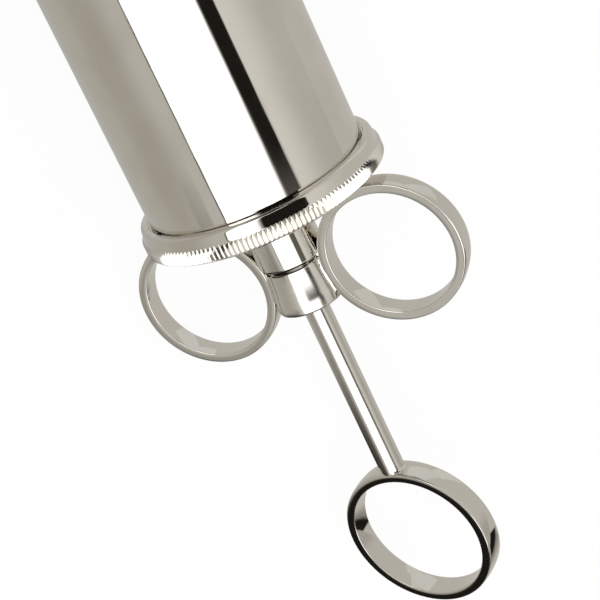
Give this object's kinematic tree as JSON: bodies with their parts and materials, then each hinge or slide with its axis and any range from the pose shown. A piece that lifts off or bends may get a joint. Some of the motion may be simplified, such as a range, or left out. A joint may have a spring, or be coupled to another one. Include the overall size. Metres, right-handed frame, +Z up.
{
  "type": "irrigating syringe",
  "caption": "Three-ring metal irrigating syringe with a screw-capped barrel, double cup-leather piston and screw-on olive-tipped nozzle, lying as it rests on a table.",
  "frame": {"origin": "middle of the syringe's length and width, at the table that it lies on", "axes": "X along the syringe with the nozzle at +X, Y across it on the table, Z up"},
  "size_m": [0.2966, 0.0512, 0.0452],
  "materials": {
    "nickel": "mirror polished nickel plate",
    "brass": "turned",
    "leather": "oiled"
  },
  "bodies": {
    "barrel": {"barrel": "nickel"},
    "rear_washer": {"rear_washer": "leather"},
    "rear_cap": {"rear_cap": "nickel", "left_finger_ring": "nickel", "right_finger_ring": "nickel"},
    "front_washer": {"front_washer": "leather"},
    "front_cap": {"front_cap": "nickel", "nozzle_spigot": "nickel"},
    "nozzle_washer": {"nozzle_washer": "leather"},
    "nozzle": {"nozzle_hub": "nickel", "nozzle_tube": "nickel", "nozzle_bead": "nickel"},
    "cup_leathers": {"front_cup_leather": "leather", "rear_cup_leather": "leather"},
    "plunger": {"plunger_rod": "nickel", "thumb_ring": "nickel", "piston_rear_plate": "brass", "piston_spacer": "brass", "piston_front_plate": "brass", "piston_nut": "brass"}
  },
  "joints": [
    {"name": "rear_cap_travel", "type": "slide", "parent": "barrel", "child": "rear_washer", "axis": [-1, 0, 0], "range_m": [0, 0.00251]},
    {"name": "rear_cap_turn", "type": "hinge", "parent": "rear_washer", "child": "rear_cap", "pos_m": [-0.05526, 0, 0.0226], "axis": [-1, 0, 0], "range_deg": [0, 900]},
    {"name": "front_cap_travel", "type": "slide", "parent": "barrel", "child": "front_washer", "axis": [1, 0, 0], "range_m": [0, 0.00251]},
    {"name": "front_cap_turn", "type": "hinge", "parent": "front_washer", "child": "front_cap", "pos_m": [0.06834, 0, 0.0226], "axis": [1, 0, 0], "range_deg": [0, 900]},
    {"name": "nozzle_travel", "type": "slide", "parent": "front_cap", "child": "nozzle_washer", "axis": [1, 0, 0], "range_m": [0, 0.00481]},
    {"name": "nozzle_turn", "type": "hinge", "parent": "nozzle_washer", "child": "nozzle", "pos_m": [0.08594, 0, 0.0226], "axis": [1, 0, 0], "range_deg": [0, 2160]},
    {"name": "plunger_slide", "type": "slide", "parent": "barrel", "child": "cup_leathers", "axis": [1, 0, 0], "range_m": [-0.0808, 0.0312]},
    {"name": "plunger_turn", "type": "hinge", "parent": "cup_leathers", "child": "plunger", "pos_m": [0.03934, 0, 0.0226], "axis": [1, 0, 0], "continuous": true}
  ],
  "couplings": [
    {"joint": "rear_cap_travel", "follows": "rear_cap_turn", "m_per_rad": 0.00015915},
    {"joint": "front_cap_travel", "follows": "front_cap_turn", "m_per_rad": 0.00015915},
    {"joint": "nozzle_travel", "follows": "nozzle_turn", "m_per_rad": 0.00012732}
  ]
}
